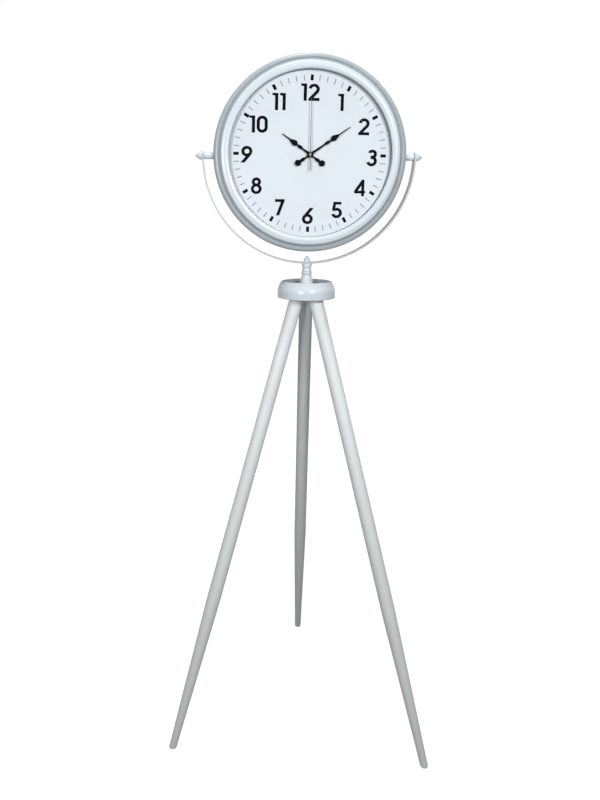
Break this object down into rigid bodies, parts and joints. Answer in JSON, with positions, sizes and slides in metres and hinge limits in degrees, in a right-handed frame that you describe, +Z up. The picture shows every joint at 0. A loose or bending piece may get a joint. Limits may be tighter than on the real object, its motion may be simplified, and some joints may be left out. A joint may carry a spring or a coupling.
{
  "type": "tripod floor clock",
  "caption": "Round clock that tilts in a half-ring yoke on a turned spindle and hub, standing on splayed tapered wooden legs, with a working hand train.",
  "frame": {"origin": "on the floor, in the middle of the bounding box", "axes": "+Z up; the dial looks along -Y; +X to the right of someone facing the dial"},
  "size_m": [0.5552, 0.516, 1.4832],
  "materials": {
    "leg_paint": "satin pale grey paint on wood",
    "hub_paint": "satin pale blue-grey paint on turned wood",
    "case_paint": "satin pale blue-grey paint",
    "steel": "plain zinc-plated steel",
    "aluminium": "turned",
    "brass": "plain",
    "glass": "clear flat",
    "ring_plastic": "matt grey",
    "dial_white": "matt white printed sheet",
    "board": "hardboard",
    "black_plastic": "matt moulded",
    "rubber": "matt",
    "battery_wrap": "plain wrapped cell",
    "contact_metal": "nickel plated",
    "copper": "enamelled copper wire",
    "circuit": "board with mask",
    "wheel_plastic": "natural moulded",
    "hand_black": "satin black",
    "hand_grey": "satin grey"
  },
  "bodies": {
    "stand": {"leg_front_left": "leg_paint", "leg_front_right": "leg_paint", "leg_back": "leg_paint", "leg_studs": "steel", "leg_inserts": "brass", "hub": "hub_paint", "hub_insert": "brass", "centre_stud": "steel", "spindle": "case_paint", "spindle_finial": "case_paint"},
    "yoke": {"yoke": "case_paint"},
    "head": {"pivot_post_left": "case_paint", "pivot_finial_left": "case_paint", "pivot_bolt_left": "steel", "pivot_block_left": "steel", "pivot_post_right": "case_paint", "pivot_finial_right": "case_paint", "pivot_bolt_right": "steel", "pivot_block_right": "steel", "bezel": "case_paint", "bezel_screws": "steel", "case_band": "case_paint", "back_cover": "case_paint", "back_screws": "steel", "dial_screws": "steel", "dial_pillars": "aluminium", "glass": "glass", "spacer_ring": "ring_plastic", "dial_sheet": "dial_white", "dial_board": "board", "movement_shell": "black_plastic", "movement_cover": "black_plastic", "rubber_washer": "rubber", "brass_washer": "brass", "shaft_nut": "brass", "battery": "battery_wrap", "battery_contacts": "contact_metal", "stator": "steel", "coil": "copper", "circuit_board": "circuit"},
    "rotor": {"rotor": "wheel_plastic"},
    "fifth": {"fifth_wheel": "wheel_plastic"},
    "second": {"second_wheel": "wheel_plastic", "second_hand": "hand_grey"},
    "third": {"third_wheel": "wheel_plastic"},
    "minute": {"centre_wheel": "wheel_plastic", "minute_hand": "hand_black"},
    "motion": {"motion_wheel": "wheel_plastic"},
    "hour": {"hour_wheel": "wheel_plastic", "hour_hand": "hand_black"},
    "knob": {"setting_knob": "wheel_plastic"}
  },
  "joints": [
    {"name": "yoke_swivel", "type": "hinge", "parent": "stand", "child": "yoke", "pos_m": [0.01913, -0.06134, 1.057], "axis": [0, 0, 1], "continuous": true},
    {"name": "head_tilt", "type": "hinge", "parent": "yoke", "child": "head", "pos_m": [0.01913, -0.06134, 1.28], "axis": [1, 0, 0], "continuous": true},
    {"name": "second_spin", "type": "hinge", "parent": "head", "child": "second", "pos_m": [0.01913, -0.06134, 1.2832], "axis": [0, 1, 0], "continuous": true},
    {"name": "minute_spin", "type": "hinge", "parent": "head", "child": "minute", "pos_m": [0.01913, -0.06134, 1.2832], "axis": [0, 1, 0], "continuous": true},
    {"name": "hour_spin", "type": "hinge", "parent": "head", "child": "hour", "pos_m": [0.01913, -0.06134, 1.2832], "axis": [0, 1, 0], "continuous": true},
    {"name": "rotor_spin", "type": "hinge", "parent": "head", "child": "rotor", "pos_m": [0.03173, -0.06134, 1.2916], "axis": [0, 1, 0], "continuous": true},
    {"name": "fifth_spin", "type": "hinge", "parent": "head", "child": "fifth", "pos_m": [0.03173, -0.06134, 1.2832], "axis": [0, 1, 0], "continuous": true},
    {"name": "third_spin", "type": "hinge", "parent": "head", "child": "third", "pos_m": [0.00713, -0.06134, 1.2832], "axis": [0, 1, 0], "continuous": true},
    {"name": "motion_spin", "type": "hinge", "parent": "head", "child": "motion", "pos_m": [0.01913, -0.06134, 1.2928], "axis": [0, 1, 0], "continuous": true},
    {"name": "knob_spin", "type": "hinge", "parent": "head", "child": "knob", "pos_m": [0.01082, -0.06134, 1.2976], "axis": [0, 1, 0], "continuous": true}
  ],
  "couplings": [
    {"joint": "fifth_spin", "follows": "second_spin", "ratio": -5},
    {"joint": "rotor_spin", "follows": "second_spin", "ratio": 30},
    {"joint": "third_spin", "follows": "second_spin", "ratio": -0.13333},
    {"joint": "minute_spin", "follows": "second_spin", "ratio": 0.016667},
    {"joint": "motion_spin", "follows": "second_spin", "ratio": -0.0055556},
    {"joint": "hour_spin", "follows": "second_spin", "ratio": 0.0013889},
    {"joint": "knob_spin", "follows": "second_spin", "ratio": 0.016667}
  ]
}
